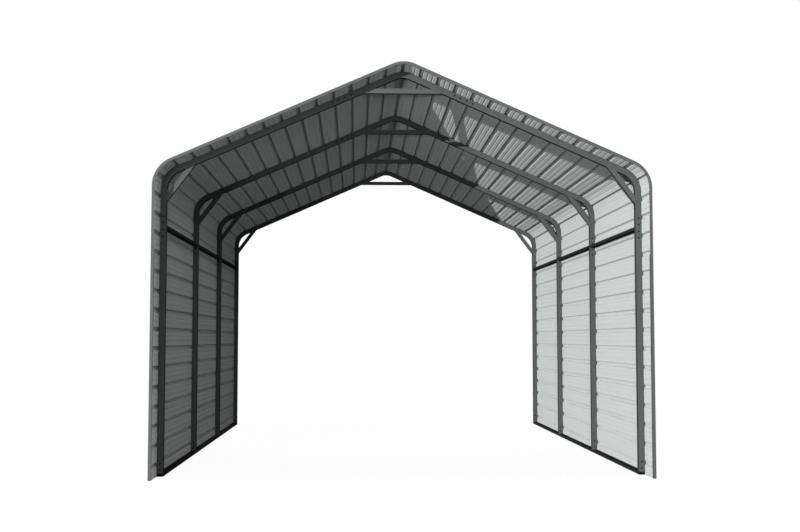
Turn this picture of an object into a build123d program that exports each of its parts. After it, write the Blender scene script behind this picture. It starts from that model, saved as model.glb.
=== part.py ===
from build123d import *
import math
import os

# Steel carport, in millimetres. X runs across, -Y is the front opening and Z is up from the ground.
# Four bent tube frames stand on two base rails. Ribbed sheets wrap the roof and both side walls,
# and a folded channel caps the sheet edges at the two open ends.

# Tube frames
frame_width = 3928          # over the outer faces of the posts
frame_length = 5508         # from the front face of the first frame to the back face of the last
eave_height = 2443.5        # where the outer faces of a wall and a roof slope would meet
roof_pitch = 23.743         # degrees
tube_size = 50
tube_wall = 1.5
eave_bend = 215             # outer radius of the bend between wall and roof
ridge_bend = 200            # outer radius of the bend at the ridge
post_joint_height = 2005    # joint between a post and the bent rafter above it
ridge_reach = 552           # from the ridge down each slope to the joint with the rafter
frame_names = ("front", "second", "third", "back")

# Rails and braces
rail_width = 50
rail_height = 25
brace_size = 40
peak_brace_drop = 143       # from the corner of the rafters' inner faces to the underside of the brace
knee_margin = 64            # from the start of the eave bend down to the knee brace's centre line
knee_lean = 36.7            # degrees from the vertical

# Ribbed sheets
end_overhang = 266          # sheets and trim past the faces of the end frames
sheet_thickness = 0.8
seat_clearance = 0.3        # between a sheet or trim and what it lies on
rib_height = 20
rib_base = 42
rib_crest = 23
rib_count = 29              # from the ridge rib, not counted, down to the last rib of a wall
ribs_per_sheet = 6
sheet_foot = 97             # from the last rib's centre to the ground
stiffener_height = 2.4
stiffener_base = 16
stiffener_crest = 6
stiffener_shares = (0.36, 0.64)     # of the rib pitch
lap_gap = 0.2
lap_lip = 8                 # how far a lapping sheet reaches down the rib that it covers

# End trim
trim_thickness = 1
trim_flange = 45            # over the ribs
trim_leg_lip = 30           # inside the sheets, below the joint
trim_roof_lip = 6           # inside the sheets, above the joint
trim_fold = 6               # outer radius of the rounded fold between web and flange
trim_fold_bends = 4         # small bends that round this fold
trim_joint_height = 1770
trim_joint_gap = 0.6

# Section of the carport: a line along the outer faces of the frames, measured from the ridge
half_width = frame_width / 2
pitch = math.radians(roof_pitch)
eave_turn = math.pi / 2 - pitch
apex_height = eave_height + half_width * math.tan(pitch)
ridge_centre_height = apex_height - ridge_bend / math.cos(pitch)
eave_centre_x = half_width - eave_bend
eave_centre_height = eave_height - eave_bend * math.tan(eave_turn / 2)
slope_length = half_width / math.cos(pitch) - ridge_bend * math.tan(pitch) - eave_bend * math.tan(eave_turn / 2)
ridge_end = ridge_bend * pitch
slope_end = ridge_end + slope_length
eave_end = slope_end + eave_bend * eave_turn
section_end = eave_end + eave_centre_height
bend_marks = (ridge_end, slope_end, eave_end)

# Places worked out from those sizes
frame_spacing = (frame_length - tube_size) / (len(frame_names) - 1)
frame_places = [index * frame_spacing - (frame_length - tube_size) / 2 for index in range(len(frame_names))]
post_x = half_width - tube_size / 2
inner_x = half_width - tube_size
inner_apex_height = apex_height - tube_size / math.cos(pitch)
rib_pitch = (section_end - sheet_foot) / rib_count
lap_rise = sheet_thickness + lap_gap
trim_outside = seat_clearance + rib_height + lap_rise + sheet_thickness + seat_clearance + trim_thickness
trim_inside = -trim_thickness
half_length = frame_length / 2 + end_overhang
sheet_length = 2 * (half_length - trim_fold)
sides = {"left": -1, "right": 1}
ends = {"front": 1, "back": -1}


def at(along, out):
    """Point of the section, so far along it from the ridge and so far out from the frames' faces."""
    side = math.copysign(1, along)
    along = abs(along)
    if along < ridge_end:
        turn = along / ridge_bend
        x = (ridge_bend + out) * math.sin(turn)
        z = ridge_centre_height + (ridge_bend + out) * math.cos(turn)
    elif along < slope_end:
        down = along - ridge_end
        x = (ridge_bend + out) * math.sin(pitch) + down * math.cos(pitch)
        z = ridge_centre_height + (ridge_bend + out) * math.cos(pitch) - down * math.sin(pitch)
    elif along < eave_end:
        turn = pitch + (along - slope_end) / eave_bend
        x = eave_centre_x + (eave_bend + out) * math.sin(turn)
        z = eave_centre_height + (eave_bend + out) * math.cos(turn)
    else:
        x = half_width + out
        z = section_end - along
    return (side * x, z)


def along_wall(height):
    """Place along the section of a height on the wall."""
    return section_end - height


def bends_at(along):
    """Whether the section is curved at a place along it."""
    return abs(along) < ridge_end or slope_end < abs(along) < eave_end


def stops_between(start, end):
    """Both places and the marks between them where the section starts or stops bending, in order."""
    marks = [side * mark for side in sides.values() for mark in bend_marks]
    between = [mark for mark in marks if min(start, end) < mark < max(start, end)]
    return sorted([start, *between, end], reverse=start > end)


def closed_outline(corners):
    """Closed line through corners of the section; a stretch at one depth follows the bends."""
    straight = [at(*corners[0])]
    for (along, out), (next_along, next_out) in zip(corners, corners[1:] + corners[:1]):
        stops = stops_between(along, next_along) if out == next_out else [along, next_along]
        for first, second in zip(stops, stops[1:]):
            middle = (first + second) / 2
            if out == next_out and bends_at(middle):
                if len(straight) > 1:
                    Polyline(*straight)
                ThreePointArc(at(first, out), at(middle, out), at(second, out))
                straight = []
            straight.append(at(second, next_out))
    if len(straight) > 1:
        Polyline(*straight)


def band(start, end, inside, outside):
    """Closed outline between two depths and two places along the section."""
    closed_outline([(start, inside), (end, inside), (end, outside), (start, outside)])


def bent_tube(start, end, place):
    """Square tube that follows the section at one frame, open at both ends."""
    with BuildPart() as tube:
        with BuildSketch(Plane.XZ.offset(-place)):
            with BuildLine():
                band(start, end, -tube_size, 0)
            make_face()
        extrude(amount=tube_size / 2, both=True)
        with BuildSketch(Plane.XZ.offset(-place)):
            with BuildLine():
                band(start, end, tube_wall - tube_size, -tube_wall)
            make_face()
        extrude(amount=tube_size / 2 - tube_wall, both=True, mode=Mode.SUBTRACT)
    return tube.part


def peak_brace_outline(wall):
    """Upright face of a peak brace, less its wall above and below; its ends lie on the rafters."""
    low = inner_apex_height - peak_brace_drop + wall
    high = inner_apex_height - peak_brace_drop + brace_size - wall
    low_x = (inner_apex_height - low) / math.tan(pitch)
    high_x = (inner_apex_height - high) / math.tan(pitch)
    Polyline((-low_x, low), (low_x, low), (high_x, high), (-high_x, high), close=True)


def knee_edge(offset):
    """One long edge of a knee brace, from the post's inner face to the rafter's inner face."""
    lean = math.radians(knee_lean)
    foot = eave_centre_height - knee_margin + offset / math.sin(lean)
    rise = inner_apex_height - inner_x * math.tan(pitch) - foot
    length = rise / (math.cos(lean) - math.sin(lean) * math.tan(pitch))
    head = (inner_x - length * math.sin(lean), foot + length * math.cos(lean))
    return (inner_x, foot), head


def knee_brace_outline(side, wall):
    """Upright face of a knee brace, less its wall on both long edges."""
    low_foot, low_head = knee_edge(wall - brace_size / 2)
    high_foot, high_head = knee_edge(brace_size / 2 - wall)
    corners = [(side * x, z) for x, z in (low_foot, low_head, high_head, high_foot)]
    Polyline(*corners, close=True)


def raised(centre, base, crest, height, grow):
    """Corners of a rib or stiffener on one face of a sheet, that face lying so far out from the inner one."""
    spread = grow * math.tan(math.atan2(height, (base - crest) / 2) / 2)
    foot = seat_clearance + grow
    return [
        (centre - base / 2 - spread, foot),
        (centre - crest / 2 - spread, foot + height),
        (centre + crest / 2 + spread, foot + height),
        (centre + base / 2 + spread, foot),
    ]


def rib(index, grow):
    """Corners of one full rib, counted from the ridge."""
    return raised(index * rib_pitch, rib_base, rib_crest, rib_height, grow)


def stiffeners(index, grow):
    """Corners of the low stiffeners in the pan above a rib."""
    corners = []
    for share in stiffener_shares:
        centre = (index - 1 + share) * rib_pitch
        corners += raised(centre, stiffener_base, stiffener_crest, stiffener_height, grow)
    return corners


def lapping_rib(index, grow):
    """Corners of the rib at a sheet's lower edge, which lies over the first rib of the next sheet."""
    web = math.atan2(rib_height, (rib_base - rib_crest) / 2)
    lift = lap_rise + grow
    centre = index * rib_pitch
    half_base = rib_base / 2 + (lift - grow * math.cos(web)) / math.sin(web)
    half_crest = rib_crest / 2 + lift * math.tan(web / 2)
    lip_x = rib_crest / 2 + lap_lip * math.cos(web) + lift * math.sin(web)
    lip_out = rib_height - lap_lip * math.sin(web) + lift * math.cos(web)
    return [
        (centre - half_base, seat_clearance + grow),
        (centre - half_crest, seat_clearance + rib_height + lift),
        (centre + half_crest, seat_clearance + rib_height + lift),
        (centre + lip_x, seat_clearance + lip_out),
    ]


def sheet_face(first, last, grow):
    """Corners of one face of a sheet that starts under a lap and ends in a lap or at the ground."""
    crest_edge = (first * rib_pitch - rib_crest / 2, seat_clearance + rib_height + grow)
    corners = [crest_edge, *rib(first, grow)[2:]]
    for index in range(first + 1, min(last, rib_count + 1)):
        corners += stiffeners(index, grow) + rib(index, grow)
    if last > rib_count:
        return corners + [(section_end, seat_clearance + grow)]
    return corners + stiffeners(last, grow) + lapping_rib(last, grow)


def ridge_face(last, grow):
    """Corners of one face of the sheet that is bent over the ridge and laps the sheets on both slopes."""
    corners = rib(0, grow)[2:]
    for index in range(1, last):
        corners += stiffeners(index, grow) + rib(index, grow)
    corners += stiffeners(last, grow) + lapping_rib(last, grow)
    return [(-along, out) for along, out in reversed(corners)] + corners


def sheet(inner_face, outer_face):
    """Sheet between its two faces, over the whole length of the carport."""
    with BuildPart() as panel:
        with BuildSketch(Plane.XZ):
            with BuildLine():
                closed_outline(inner_face + outer_face[::-1])
            make_face()
        extrude(amount=sheet_length / 2, both=True)
    return panel.part


def trim_plane(along, end):
    """Plane across the trim, with X out from the frames' faces and Y in from the carport's end."""
    x, z = at(along, 0)
    out_x, out_z = at(along, trim_thickness)
    outward = Vector(out_x - x, 0, out_z - z)
    inward = Vector(0, end, 0)
    return Plane(origin=(x, -end * half_length, z), x_dir=outward, z_dir=outward.cross(inward))


def fold(radius):
    """Corners of the trim's rounded fold at one face of its steel, from the web to the flange."""
    turns = [index * math.pi / 2 / trim_fold_bends for index in range(trim_fold_bends + 1)]
    middle = trim_outside - trim_fold
    return [(middle + radius * math.sin(turn), trim_fold - radius * math.cos(turn)) for turn in turns]


def channel_outline(lip):
    """Folded section of the trim: flange over the ribs, web across the sheet edges, lip inside the sheets."""
    inner_fold = fold(trim_fold - trim_thickness)
    corners = [
        (trim_inside, lip),
        (trim_inside, 0),
        *fold(trim_fold),
        (trim_outside, trim_flange),
        (trim_outside - trim_thickness, trim_flange),
        *inner_fold[::-1],
        (trim_inside + trim_thickness, trim_thickness),
        (trim_inside + trim_thickness, lip),
    ]
    Polyline(*corners, close=True)


def channel(start, stop, lip, end):
    """One length of trim along the section, at one end of the carport."""
    side = math.copysign(1, start)
    stops = stops_between(start, stop)
    with BuildPart() as length:
        for first, second in zip(stops, stops[1:]):
            run = abs(second - first)
            middle = (first + second) / 2
            with BuildSketch(trim_plane(first, end)):
                with BuildLine():
                    channel_outline(lip)
                make_face()
            if bends_at(middle):
                bend = ridge_bend if abs(middle) < ridge_end else eave_bend
                x, z = at(middle, -bend)
                revolve(axis=Axis((x, 0, z), (0, side, 0)), revolution_arc=math.degrees(run / bend))
            else:
                extrude(amount=-side * end * run)
    return length.part


os.makedirs("parts", exist_ok=True)

# Posts, bent rafters, ridge bends and braces of each frame
for frame_name, place in zip(frame_names, frame_places):
    for side_name, side in sides.items():
        with BuildPart() as post:
            with BuildSketch(Plane.XY.offset(rail_height)):
                with Locations((side * post_x, place)):
                    Rectangle(tube_size, tube_size)
                    Rectangle(tube_size - 2 * tube_wall, tube_size - 2 * tube_wall, mode=Mode.SUBTRACT)
            extrude(amount=post_joint_height - rail_height)
        post.part.label = f"{frame_name}_{side_name}_post"
        export_step(post.part, f"parts/{post.part.label}.step")

        with BuildPart() as rafter:
            add(bent_tube(side * ridge_reach, side * along_wall(post_joint_height), place))
        rafter.part.label = f"{frame_name}_{side_name}_rafter"
        export_step(rafter.part, f"parts/{rafter.part.label}.step")

    with BuildPart() as ridge_piece:
        add(bent_tube(-ridge_reach, ridge_reach, place))
    ridge_piece.part.label = f"{frame_name}_ridge_bend"
    export_step(ridge_piece.part, f"parts/{ridge_piece.part.label}.step")

    with BuildPart() as braces:
        for wall, mode in ((0, Mode.ADD), (tube_wall, Mode.SUBTRACT)):
            with BuildSketch(Plane.XZ.offset(-place)):
                with BuildLine():
                    peak_brace_outline(wall)
                make_face()
                for side in sides.values():
                    with BuildLine():
                        knee_brace_outline(side, wall)
                    make_face()
            extrude(amount=brace_size / 2 - wall, both=True, mode=mode)
    braces.part.label = f"{frame_name}_braces"
    export_step(braces.part, f"parts/{braces.part.label}.step")

# Base rails under the posts, and girts between the posts at the height of their joints
for side_name, side in sides.items():
    with BuildPart() as base_rail:
        with BuildSketch(Plane.XZ):
            with Locations((side * (half_width - rail_width / 2), rail_height / 2)):
                Rectangle(rail_width, rail_height)
                Rectangle(rail_width - 2 * tube_wall, rail_height - 2 * tube_wall, mode=Mode.SUBTRACT)
        extrude(amount=frame_length / 2, both=True)
    base_rail.part.label = f"{side_name}_base_rail"
    export_step(base_rail.part, f"parts/{base_rail.part.label}.step")

    with BuildPart() as girts:
        for place, next_place in zip(frame_places, frame_places[1:]):
            with BuildSketch(Plane.XZ.offset(-(place + next_place) / 2)):
                with Locations((side * (half_width - rail_width / 2), post_joint_height)):
                    Rectangle(rail_width, rail_height)
                    Rectangle(rail_width - 2 * tube_wall, rail_height - 2 * tube_wall, mode=Mode.SUBTRACT)
            extrude(amount=(frame_spacing - tube_size) / 2, both=True)
    girts.part.label = f"{side_name}_girts"
    export_step(girts.part, f"parts/{girts.part.label}.step")

# Ribbed sheets, each lapped over the one below it
ridge_ribs = ribs_per_sheet // 2
with BuildPart() as ridge_sheet:
    add(sheet(ridge_face(ridge_ribs, 0), ridge_face(ridge_ribs, sheet_thickness)))
ridge_sheet.part.label = "ridge_sheet"
export_step(ridge_sheet.part, f"parts/{ridge_sheet.part.label}.step")

sheet_names = ("roof", "eave", "upper_wall", "middle_wall", "lower_wall")
for side_name, side in sides.items():
    for number, sheet_name in enumerate(sheet_names):
        first_rib = ridge_ribs + number * ribs_per_sheet
        last_rib = first_rib + ribs_per_sheet
        faces = [sheet_face(first_rib, last_rib, grow) for grow in (0, sheet_thickness)]
        inner_face, outer_face = [[(side * along, out) for along, out in face] for face in faces]
        with BuildPart() as side_sheet:
            add(sheet(inner_face, outer_face))
        side_sheet.part.label = f"{side_name}_{sheet_name}_sheet"
        export_step(side_sheet.part, f"parts/{side_sheet.part.label}.step")

# End trim: a channel over the sheet edges, with a joint low on each leg
for end_name, end in ends.items():
    for side_name, side in sides.items():
        joint = along_wall(trim_joint_height)
        with BuildPart() as trim:
            add(channel(side * trim_joint_gap / 2, side * (joint - trim_joint_gap / 2), trim_roof_lip, end))
            add(channel(side * (joint + trim_joint_gap / 2), side * section_end, trim_leg_lip, end))
        trim.part.label = f"{end_name}_{side_name}_trim"
        export_step(trim.part, f"parts/{trim.part.label}.step")
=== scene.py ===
# %% [markdown]
# # Dressing a steel carport
#
# The carport is an open shelter: four frames bent from square tube, ribbed sheets wrapped over
# the roof and both walls, and a folded trim round the two open ends.
# Its solids come in as a fixed frame, in metres, with X across, -Y at the front and Z up.
# Here they get a camera, a studio, their paint and the small screws that hold them together.

# %% Load the frame
import math

import bmesh
import bpy
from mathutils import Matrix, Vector


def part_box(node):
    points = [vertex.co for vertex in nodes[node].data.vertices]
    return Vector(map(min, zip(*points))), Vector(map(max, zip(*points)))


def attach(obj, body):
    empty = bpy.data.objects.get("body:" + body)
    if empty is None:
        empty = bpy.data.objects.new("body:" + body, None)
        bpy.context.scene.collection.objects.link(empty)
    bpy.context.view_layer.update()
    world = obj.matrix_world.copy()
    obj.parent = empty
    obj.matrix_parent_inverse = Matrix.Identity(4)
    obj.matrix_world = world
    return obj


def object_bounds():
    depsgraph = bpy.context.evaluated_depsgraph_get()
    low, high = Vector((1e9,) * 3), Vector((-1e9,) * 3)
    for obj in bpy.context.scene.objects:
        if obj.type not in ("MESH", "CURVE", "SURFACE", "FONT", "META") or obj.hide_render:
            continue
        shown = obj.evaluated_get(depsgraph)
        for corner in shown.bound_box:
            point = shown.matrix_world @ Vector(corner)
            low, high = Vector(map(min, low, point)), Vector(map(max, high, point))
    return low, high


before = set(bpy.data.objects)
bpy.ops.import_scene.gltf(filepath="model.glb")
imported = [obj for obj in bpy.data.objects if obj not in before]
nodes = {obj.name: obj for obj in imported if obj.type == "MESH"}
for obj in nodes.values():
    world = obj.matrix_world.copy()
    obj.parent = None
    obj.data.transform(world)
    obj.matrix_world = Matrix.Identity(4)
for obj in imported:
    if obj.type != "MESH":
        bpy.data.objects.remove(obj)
cad_low, cad_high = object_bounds()
bpy.ops.object.select_all(action="DESELECT")
print(len(nodes), "nodes, box", [round(size, 3) for size in cad_high - cad_low], "m")

# %% [markdown]
# ## The camera
#
# The picture was taken a little left of the middle line, at about chest height, looking slightly up.
# A camera's field of view can be given as a focal length in pixels of the picture.
# Blender wants it in millimetres on a sensor, so the one is worked out from the other.
# The Standard view shows every colour as it is, with no film curve laid over it.

# %% Camera
PICTURE_WIDTH = 800
FOCAL_PIXELS = 1118.6
SENSOR_WIDTH = 36.0
CAMERA_PLACE = (-0.360, -11.823, 1.095)
CAMERA_TILT = math.radians(93.74)
CAMERA_TURN = math.radians(-2.13)

bpy.ops.object.camera_add(location=CAMERA_PLACE, rotation=(CAMERA_TILT, 0, CAMERA_TURN))
camera = bpy.context.object
camera.name = "camera"
camera.data.sensor_width = SENSOR_WIDTH
camera.data.lens = FOCAL_PIXELS * SENSOR_WIDTH / PICTURE_WIDTH
bpy.context.scene.camera = camera
bpy.context.scene.view_settings.view_transform = "Standard"
print("lens", round(camera.data.lens, 2), "mm")

# %% [markdown]
# ## The studio
#
# The carport stands alone on white. A white floor that lit the inside from below would wash out the
# shadows under the roof, so the floor and the world are white only to rays that are seen:
# straight from the camera, in a reflection or through something clear.
# For all other rays they are a dim grey, which is what fills the shadows.
# A Light Path node tells the rays apart, and a Mix Shader picks one of two shaders by what it says.

# %% Tell the rays apart
SEEN_RAYS = ("Is Camera Ray", "Is Glossy Ray", "Is Transmission Ray")


def mix_shaders(tree, first, second):
    """A node that goes from one shader to another with its first input."""
    mix = tree.nodes.new("ShaderNodeMixShader")
    tree.links.new(first, mix.inputs[1])
    tree.links.new(second, mix.inputs[2])
    return mix


def seen_directly(tree):
    """A value of one for rays that are seen, and zero for rays that only carry light."""
    path = tree.nodes.new("ShaderNodeLightPath")
    seen = path.outputs[SEEN_RAYS[0]]
    for ray in SEEN_RAYS[1:]:
        either = tree.nodes.new("ShaderNodeMath")
        either.operation = "MAXIMUM"
        tree.links.new(seen, either.inputs[0])
        tree.links.new(path.outputs[ray], either.inputs[1])
        seen = either.outputs[0]
    return seen


def pick_by_ray(tree, carried, seen, surface):
    """Give a surface one shader for rays that only carry light and another for rays that are seen."""
    choice = mix_shaders(tree, carried, seen)
    tree.links.new(seen_directly(tree), choice.inputs[0])
    tree.links.new(choice.outputs[0], surface)


print("rays that are seen:", SEEN_RAYS)

# %% [markdown]
# The world is all that the camera sees above the floor. It is made of two plain backgrounds, one for rays
# that are seen and one for the rest.

# %% World
WORLD_FILL = 0.02
WHITE = 1.0


def plain_shader(tree, kind, level):
    """A shader of one plain grey."""
    node = tree.nodes.new(kind)
    node.inputs["Color"].default_value = (level, level, level, 1)
    return node.outputs[0]


world = bpy.data.worlds.new("studio")
bpy.context.scene.world = world
world.use_nodes = True
tree = world.node_tree
tree.nodes.remove(tree.nodes["Background"])
dim = plain_shader(tree, "ShaderNodeBackground", WORLD_FILL)
bright = plain_shader(tree, "ShaderNodeBackground", WHITE)
pick_by_ray(tree, dim, bright, tree.nodes["World Output"].inputs["Surface"])
print(world.name, "fills shadows at level", WORLD_FILL)

# %% [markdown]
# The floor is seen as white paper. Nearly all of that white glows by itself, so it is even right up to
# the horizon, and a little plain paper is mixed in, which keeps the carport's shadow.

# %% Floor
FLOOR_REACH = 60.0
FLOOR_FILL = 0.08
FLOOR_GLOW = 0.97

bpy.ops.mesh.primitive_plane_add(size=FLOOR_REACH, location=(0, 0, 0))
floor = bpy.context.object
floor.name = "floor"
white_floor = bpy.data.materials.new("white_floor")
white_floor.use_nodes = True
tree = white_floor.node_tree
tree.nodes.remove(tree.nodes["Principled BSDF"])
bounce = plain_shader(tree, "ShaderNodeBsdfDiffuse", FLOOR_FILL)
paper = plain_shader(tree, "ShaderNodeBsdfDiffuse", WHITE)
glow = plain_shader(tree, "ShaderNodeEmission", WHITE)
shown = mix_shaders(tree, paper, glow)
shown.inputs[0].default_value = FLOOR_GLOW
pick_by_ray(tree, bounce, shown.outputs[0], tree.nodes["Material Output"].inputs["Surface"])
floor.data.materials.append(white_floor)
print("floor", FLOOR_REACH, "m across")

# %% [markdown]
# ## The lamps
#
# The main light is low, in front and to the left. It reaches the right wall and grazes the underside
# of the right roof, where each rafter throws a long shadow, while the left side stays dark.
# A sun lamp gives such parallel light; a small angle keeps its shadows crisp.

# %% Main light
KEY_DIRECTION = (0.37, 1.0, -0.068)
KEY_LEVEL = 1.62
KEY_ANGLE = math.radians(0.15)


def aim(direction):
    """Turn of a lamp that shines along a direction."""
    return Vector(direction).to_track_quat("-Z", "Y").to_euler()


def sun(name, direction, level, angle):
    """Parallel light; at level one a white face square to it renders white."""
    bpy.ops.object.light_add(type="SUN", location=(0, 0, cad_high.z), rotation=aim(direction))
    lamp = bpy.context.object
    lamp.name = name
    lamp.data.energy = level * math.pi
    lamp.data.angle = angle
    print(name, "at level", level)


sun("key_sun", KEY_DIRECTION, KEY_LEVEL, KEY_ANGLE)

# %% [markdown]
# Three soft boxes round the camera open up what the main light misses. Two stand low, one at each side,
# and reach under the roof; the high one, in the middle, brings out the ribs of both walls.
# A soft box's light falls off as one over the square of its distance, so its power is worked out from a
# level at the carport, which is easier to think in.

# %% Soft boxes
BOX_AIM = Vector((0.0, 0.0, 1.4))


def soft_box(name, place, size, level):
    """A lamp with a face; at level one a white face square to it, at the middle, renders white."""
    reach = BOX_AIM - Vector(place)
    bpy.ops.object.light_add(type="AREA", location=place, rotation=aim(reach))
    lamp = bpy.context.object
    lamp.name = name
    lamp.data.shape = "RECTANGLE"
    lamp.data.size, lamp.data.size_y = size
    lamp.data.energy = level * (math.pi * reach.length) ** 2
    print(name, round(lamp.data.energy), "W")


soft_box("left_box", place=(-4.5, -15.0, 0.7), size=(1.5, 1.0), level=0.245)
soft_box("right_box", place=(4.5, -15.0, 1.0), size=(1.5, 1.0), level=0.096)
soft_box("high_box", place=(0.0, -15.0, 5.0), size=(5.0, 2.0), level=0.263)

# %% [markdown]
# Three wide suns light the outside: the roof from above, the right wall from its side and the rear
# end from behind. They come from where the sheets keep them off most of the inside.

# %% Outside lights
OUTSIDE_ANGLE = math.radians(8)
OUTSIDE_SUNS = {
    "top_light": ((0.05, 0.0, -1.0), 0.5),
    "side_light": ((-1.0, 0.0, -0.45), 0.6),
    "back_light": ((0.0, -1.0, -0.7), 0.7),
}

for name, (direction, level) in OUTSIDE_SUNS.items():
    sun(name, direction, level, OUTSIDE_ANGLE)

# %% [markdown]
# ## Painted steel
#
# Every piece is steel under cool grey paint: pale on the sheets, dark on the trim, tubes and rails.
# Paint is never quite even, so each finish mixes two close shades by a soft noise and lets its roughness
# wander a little. A second, much finer noise drives a bump, the slight orange peel of a coat.
# All of them read Object coordinates, so that the pattern has the same size on every piece.
#
# ### Sheets
#
# The sheets are rolled from coil that was painted before it was bent, and that paint is matt.
# A matt coat throws some light back the way it came, so it stays bright where light only grazes it,
# as under the roof. The shader's Diffuse Roughness does that.

# %% A new finish
SHEET_MATT = 0.4


def new_finish(name, specular, matt=0.0):
    """An empty material, its nodes, its shader and Object coordinates."""
    finish = bpy.data.materials.new(name)
    finish.use_nodes = True
    tree = finish.node_tree
    shader = tree.nodes["Principled BSDF"]
    shader.inputs["Specular IOR Level"].default_value = specular
    shader.inputs["Diffuse Roughness"].default_value = matt
    coordinates = tree.nodes.new("ShaderNodeTexCoord").outputs["Object"]
    return finish, tree, shader, coordinates


sheet_paint, tree, shader, coordinates = new_finish("sheet_paint", specular=0.0, matt=SHEET_MATT)
print("made", sheet_paint.name)

# %% [markdown]
# The paint is two greys that lie close together. Both are a little cool, because red is held back by a
# tint, and blue by only a quarter of it.

# %% Greys of the sheets
BLUE_SHARE = 0.25
SHEET_LEVEL = 0.47
SHEET_SHADE = 0.015
SHEET_TINTS = (0.032, 0.040)


def grey(level, tint=0.0):
    """A grey of that brightness, cooled by taking out a little red."""
    return (level * (1 - tint), level, level * (1 - tint * BLUE_SHARE), 1)


def close_greys(level, shade, tints):
    """Two greys, a shade darker and a shade lighter than a level."""
    return grey(level * (1 - shade), tints[0]), grey(level * (1 + shade), tints[1])


sheet_greys = close_greys(SHEET_LEVEL, SHEET_SHADE, SHEET_TINTS)
print("sheet greys", [[round(part, 3) for part in colour] for colour in sheet_greys])

# %% [markdown]
# A slow noise clouds the whole sheet, from one of its greys to the other.
# Noise seldom strays far from its middle, so its middle half is stretched before it mixes them.

# %% Clouds on the sheets
NOISE_MIDDLE = (0.25, 0.75)
SHEET_CLOUDS_PER_METRE = 1.1


def noise(tree, coordinates, scale, detail):
    """A noise pattern with so many bumps a metre."""
    pattern = tree.nodes.new("ShaderNodeTexNoise")
    pattern.inputs["Scale"].default_value = scale
    pattern.inputs["Detail"].default_value = detail
    tree.links.new(coordinates, pattern.inputs["Vector"])
    return pattern.outputs["Fac"]


def spread(tree, pattern, low, high):
    """The middle half of a noise pattern, stretched between two values."""
    ramp = tree.nodes.new("ShaderNodeMapRange")
    ramp.inputs["From Min"].default_value, ramp.inputs["From Max"].default_value = NOISE_MIDDLE
    ramp.inputs["To Min"].default_value, ramp.inputs["To Max"].default_value = low, high
    tree.links.new(pattern, ramp.inputs["Value"])
    return ramp.outputs["Result"]


def two_shades(tree, pattern, first, second):
    """A colour that goes from one shade to another with a pattern."""
    mix = tree.nodes.new("ShaderNodeMix")
    mix.data_type = "RGBA"
    mix.inputs["A"].default_value = first
    mix.inputs["B"].default_value = second
    tree.links.new(spread(tree, pattern, 0, 1), mix.inputs["Factor"])
    return mix.outputs["Result"]


clouds = noise(tree, coordinates, SHEET_CLOUDS_PER_METRE, detail=3)
clouded = two_shades(tree, clouds, *sheet_greys)
print("clouds about", round(1 / SHEET_CLOUDS_PER_METRE, 1), "m wide")

# %% [markdown]
# Coil paint has faint streaks along its length. A Mapping node shrinks the coordinates along Y, which
# stretches a noise into streaks. They darken the paint very little, and its roughness follows them.

# %% Streaks along the sheets
STREAKS_PER_METRE = 55
STREAK_STRETCH = 0.012
STREAK_SHADE = 0.996
SHEET_ROUGHNESS = (0.46, 0.58)

stretch = tree.nodes.new("ShaderNodeMapping")
stretch.inputs["Scale"].default_value = (1, STREAK_STRETCH, 1)
tree.links.new(coordinates, stretch.inputs["Vector"])
streaks = noise(tree, stretch.outputs["Vector"], STREAKS_PER_METRE, detail=2)
streaked = tree.nodes.new("ShaderNodeMix")
streaked.data_type = "RGBA"
streaked.blend_type = "MULTIPLY"
streaked.inputs["Factor"].default_value = 1
tree.links.new(clouded, streaked.inputs["A"])
tree.links.new(two_shades(tree, streaks, grey(STREAK_SHADE), grey(WHITE)), streaked.inputs["B"])
tree.links.new(streaked.outputs["Result"], shader.inputs["Base Color"])
tree.links.new(spread(tree, streaks, *SHEET_ROUGHNESS), shader.inputs["Roughness"])
print(STREAKS_PER_METRE, "streaks a metre")

# %% [markdown]
# The grain of the coat is about a millimetre wide and far too shallow to model. A Bump node shades it
# instead, as if the surface rose and fell.

# %% Grain of the sheets
GRAIN_PER_METRE = 900
GRAIN_HEIGHT = 0.00001


def fine_bump(tree, pattern, height):
    """A surface that rises and falls with a pattern, by so many metres."""
    bump = tree.nodes.new("ShaderNodeBump")
    bump.inputs["Distance"].default_value = height
    tree.links.new(pattern, bump.inputs["Height"])
    return bump.outputs["Normal"]


grain = noise(tree, coordinates, GRAIN_PER_METRE, detail=1)
tree.links.new(fine_bump(tree, grain, GRAIN_HEIGHT), shader.inputs["Normal"])
print(len(tree.nodes), "nodes in", sheet_paint.name)

# %% [markdown]
# ### Trim, tubes, braces and rails
#
# These are sprayed in darker greys, with a little gloss on the trim. They differ in little else, so one
# recipe serves them all, and the screws too.

# %% Sprayed coats
COAT_SHADE = 0.07
COAT_TINTS = (0.03, 0.04)
COAT_CLOUDS_PER_METRE = 2.3
ROUGHNESS_SWING = 0.06
PEEL_PER_METRE = 420
PEEL_HEIGHT = 0.00002


def sprayed_coat(name, level, roughness, specular=0.0):
    """Sprayed paint with a slight orange peel."""
    finish, tree, shader, coordinates = new_finish(name, specular)
    clouds = noise(tree, coordinates, COAT_CLOUDS_PER_METRE, detail=3)
    shades = two_shades(tree, clouds, *close_greys(level, COAT_SHADE, COAT_TINTS))
    tree.links.new(shades, shader.inputs["Base Color"])
    wander = spread(tree, clouds, roughness - ROUGHNESS_SWING, roughness + ROUGHNESS_SWING)
    tree.links.new(wander, shader.inputs["Roughness"])
    peel = noise(tree, coordinates, PEEL_PER_METRE, detail=2)
    tree.links.new(fine_bump(tree, peel, PEEL_HEIGHT), shader.inputs["Normal"])
    return finish


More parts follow.
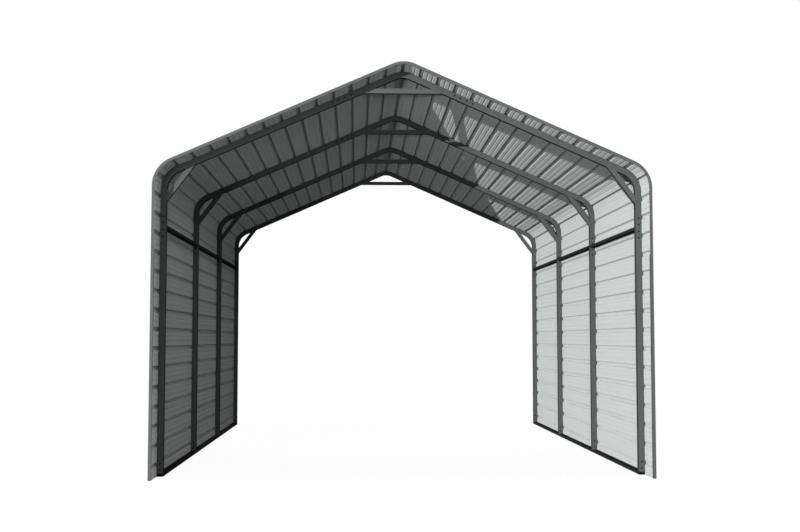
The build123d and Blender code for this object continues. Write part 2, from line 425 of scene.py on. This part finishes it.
trim_paint = sprayed_coat("trim_paint", level=0.054, roughness=0.5, specular=0.08)
tube_coat = sprayed_coat("tube_coat", level=0.057, roughness=0.6)
brace_coat = sprayed_coat("brace_coat", level=0.062, roughness=0.6)
# The rails' grey is set darker than the tubes' as painted shade, standing in for the shade on the faces
# of the rails that show.
rail_coat_with_painted_shade = sprayed_coat("rail_coat_with_painted_shade", level=0.040, roughness=0.6)
print("made", [finish.name for finish in (trim_paint, tube_coat, brace_coat, rail_coat_with_painted_shade)])

# %% [markdown]
# ### Paint on the solids
#
# A node's name says what it is, so its last word picks its paint from a table, which also names a slot
# for it.

# %% Paint the nodes
PAINTS = {
    "sheet": ("sheet", sheet_paint),
    "trim": ("trim", trim_paint),
    "post": ("tube", tube_coat),
    "rafter": ("tube", tube_coat),
    "bend": ("tube", tube_coat),
    "braces": ("brace", brace_coat),
    "rail": ("rail", rail_coat_with_painted_shade),
    "girts": ("rail", rail_coat_with_painted_shade),
}

for name, node in nodes.items():
    slot, paint = PAINTS[name.rsplit("_", 1)[-1]]
    node.data.materials.clear()
    node.data.materials.append(paint)
print("painted", len(nodes), "nodes")

# %% [markdown]
# ## Screws
#
# Self-drilling screws hold the carport together: a hexagon head, about a centimetre wide, on a round
# flange. Such a head could be a plain cylinder, but its flats catch the light even when it is small.
# It starts as the flange, a cylinder with twelve corners. The top is inset and every other corner of the
# inset is pulled in until the outline is a hexagon, which is then extruded and chamfered.
#
# Operators in edit mode act on what is selected, so the top and its corners are first picked in code.

# %% Pick the top of a screw
SCREW_CORNERS = 12
FACES_UP = 0.9


def is_top(face):
    """Whether a face is the whole top of the screw so far."""
    return face.normal.z > FACES_UP and len(face.verts) == SCREW_CORNERS


def pick_top(screw, every_other_corner=False):
    """In edit mode, select the screw's top, or every second corner of it, and nothing else."""
    bpy.ops.mesh.select_mode(type="VERT" if every_other_corner else "FACE")
    bpy.ops.mesh.select_all(action="DESELECT")
    shape = bmesh.from_edit_mesh(screw.data)
    top = next(face for face in shape.faces if is_top(face))
    parts = list(top.verts)[::2] if every_other_corner else [top]
    for part in parts:
        part.select_set(True)
    bmesh.update_edit_mesh(screw.data)


print("a flange has", SCREW_CORNERS, "corners, a head", SCREW_CORNERS // 2)

# %% [markdown]
# The head is then shaped on its flange, at the origin, pointing up.

# %% One screw
HEAD_CHAMFER = 0.0006


def hexagon_screw(name, flange_radius, flange_height, head_radius, head_height):
    """A screw head that stands on the origin and points up."""
    bpy.ops.object.select_all(action="DESELECT")
    middle = (0, 0, flange_height / 2)
    bpy.ops.mesh.primitive_cylinder_add(
        vertices=SCREW_CORNERS, radius=flange_radius, depth=flange_height, location=middle
    )
    screw = bpy.context.object
    screw.name = name
    bpy.ops.object.transform_apply(location=True, rotation=False, scale=False)
    bpy.ops.object.mode_set(mode="EDIT")
    pick_top(screw)
    bpy.ops.mesh.inset(thickness=(flange_radius - head_radius) * math.cos(math.pi / SCREW_CORNERS))
    pick_top(screw, every_other_corner=True)
    flat = math.cos(2 * math.pi / SCREW_CORNERS)
    bpy.ops.transform.resize(value=(flat, flat, 1), center_override=(0, 0, flange_height))
    pick_top(screw)
    rise = (0, 0, head_height - HEAD_CHAMFER)
    bpy.ops.mesh.extrude_region_move(TRANSFORM_OT_translate={"value": rise})
    bpy.ops.mesh.inset(thickness=HEAD_CHAMFER, depth=HEAD_CHAMFER)
    bpy.ops.object.mode_set(mode="OBJECT")
    print(name, len(screw.data.polygons), "faces", [round(size, 4) for size in screw.dimensions], "m")
    return screw


frame_screw = hexagon_screw(
    "frame_screw", flange_radius=0.0074, flange_height=0.0012, head_radius=0.0060, head_height=0.0042
)

# %% [markdown]
# ### Screws in the frames
#
# Each joint of a frame has two screws on either side of it, and each post has two above its base rail.
# They go through the middle of the tube, in its front and back faces.
# The frames are alike and so are their two sides, so only the screws at the right of the front frame are
# placed one by one. Their places are worked out from the ends of the tubes, along the post or the slope.

# %% Ends of the tubes
ROOF_PITCH = math.radians(23.743)

post_low, post_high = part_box("front_right_post")
rafter_low, rafter_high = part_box("front_right_rafter")
tube_size = post_high.x - post_low.x
front_face = post_low.y
post_middle = (post_low.x + post_high.x) / 2
post_foot = Vector((post_middle, front_face, post_low.z))
post_joint = Vector((post_middle, front_face, post_high.z))
downhill = Vector((math.cos(ROOF_PITCH), 0, -math.sin(ROOF_PITCH)))
out_of_roof = Vector((math.sin(ROOF_PITCH), 0, math.cos(ROOF_PITCH)))
rafter_top = Vector((rafter_low.x + tube_size * out_of_roof.x, front_face, rafter_high.z))
ridge_joint = rafter_top - out_of_roof * tube_size / 2
print("tube", round(tube_size, 3), "m, ridge joint at", [round(part, 3) for part in ridge_joint], "m")

# %% [markdown]
# A seat is a place for a screw and the direction that it points in.

# %% Seats in the front frame
SCREW_STEPS = (0.0285, 0.0815)
FRONT = Vector((0, -1, 0))
UP = Vector((0, 0, 1))

seats = [(post_foot + UP * step, FRONT) for step in SCREW_STEPS]
for step in SCREW_STEPS:
    for way in (-1, 1):
        seats.append((post_joint + UP * way * step, FRONT))
        seats.append((ridge_joint + downhill * way * step, FRONT))
print(len(seats), "seats")

# %% [markdown]
# Each seat gets a copy of the pattern, turned to point out of the steel, and the copies are joined to one
# mesh. Its place and turn are applied, so that the object itself sits at the origin.

# %% Set the frame screws
def set_screws(name, pattern, seats):
    """One mesh of screws on their seats."""
    bpy.ops.object.select_all(action="DESELECT")
    for place, outward in seats:
        screw = pattern.copy()
        screw.data = pattern.data.copy()
        bpy.context.collection.objects.link(screw)
        screw.location = place
        screw.rotation_euler = Vector(outward).to_track_quat("Z", "Y").to_euler()
        screw.select_set(True)
        bpy.context.view_layer.objects.active = screw
    bpy.ops.object.join()
    screws = bpy.context.object
    screws.name = name
    bpy.ops.object.transform_apply(location=True, rotation=True, scale=True)
    print(name, len(screws.data.polygons), "faces")
    return screws


frame_screws = set_screws("frame_screws", frame_screw, seats)

# %% [markdown]
# An Array repeats them at the other frames, and a Mirror at the other side and in the back faces.
# Mirroring can turn a mesh inside out, so its normals are recalculated.

# %% Repeat the frame screws
next_low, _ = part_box("second_right_post")
frame_spacing = next_low.y - post_low.y
frame_count = len([name for name in nodes if name.endswith("_right_post")])


def repeat_at_frames(screws):
    """Repeat a piece of the front frame at the frames behind it."""
    row = screws.modifiers.new("row", "ARRAY")
    row.use_relative_offset = False
    row.use_constant_offset = True
    row.constant_offset_displace = (0, frame_spacing, 0)
    row.count = frame_count
    bpy.ops.object.modifier_apply(modifier=row.name)


def mirror_to_sides(screws, front_to_back):
    """Repeat a piece at the other side, and at the other face of each frame if asked."""
    pair = screws.modifiers.new("pair", "MIRROR")
    pair.use_axis = (True, front_to_back, False)
    pair.use_mirror_merge = False
    bpy.ops.object.modifier_apply(modifier=pair.name)
    bpy.ops.object.mode_set(mode="EDIT")
    bpy.ops.mesh.select_all(action="SELECT")
    bpy.ops.mesh.normals_make_consistent(inside=False)
    bpy.ops.object.mode_set(mode="OBJECT")


repeat_at_frames(frame_screws)
mirror_to_sides(frame_screws, front_to_back=True)
print(frame_count, "frames", round(frame_spacing, 4), "m apart")

# %% [markdown]
# These screws are painted nearly black, darker than the tubes. They are fixed to the carport's one body.

# %% Paint the frame screws
near_black_coat = sprayed_coat("near_black_coat", level=0.006, roughness=0.6)


def hand_over(screws, paint):
    """Paint a mesh of screws and fix it to the carport."""
    screws.data.materials.clear()
    screws.data.materials.append(paint)
    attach(screws, "root")
    print(screws.name, len(screws.data.polygons), "faces in", paint.name)


hand_over(frame_screws, near_black_coat)

# %% [markdown]
# ### Screws in the sheets
#
# The sheets are screwed to every frame from outside, in the pan just below each rib, where the sheet lies
# on the tube and its face is a millimetre off it. The heads are smaller than those in the frames and
# stand on a thicker flange, as a sealing washer makes it.
# The rows on the wall are counted up from the lowest rib. Those on the roof are counted down from the
# ridge, which is some way up the slope from the end of the rafter.
# None sit in the bends, where the sheet doesn't lie flat.

# %% Sheet screws
RIB_PITCH = 0.15362
LOWEST_RIB = 0.097
BESIDE_RIB = 0.036
RIDGE_REACH = 0.552
PAN_FACE = 0.0011
WALL_ROWS = range(15)
ROOF_ROWS = range(1, 13)
RIGHT = Vector((1, 0, 0))

sheet_screw = hexagon_screw(
    "sheet_screw", flange_radius=0.0075, flange_height=0.0018, head_radius=0.0050, head_height=0.0046
)
frame_middle = (post_low.y + post_high.y) / 2
wall_foot = Vector((post_high.x + PAN_FACE, frame_middle, LOWEST_RIB - BESIDE_RIB))
roof_head = Vector((rafter_top.x, frame_middle, rafter_top.z))
roof_head += out_of_roof * PAN_FACE - downhill * RIDGE_REACH
seats = [(wall_foot + UP * row * RIB_PITCH, RIGHT) for row in WALL_ROWS]
seats += [(roof_head + downhill * (row * RIB_PITCH + BESIDE_RIB), out_of_roof) for row in ROOF_ROWS]

screw_paint = sprayed_coat("screw_paint", level=0.42, roughness=0.45)
sheet_screws = set_screws("sheet_screws", sheet_screw, seats)
repeat_at_frames(sheet_screws)
mirror_to_sides(sheet_screws, front_to_back=False)
hand_over(sheet_screws, screw_paint)

# %% [markdown]
# The two patterns were only there to be copied, so they are taken out of the scene.

# %% Put the patterns away
for pattern in (frame_screw, sheet_screw):
    bpy.data.objects.remove(pattern)
print("patterns removed")
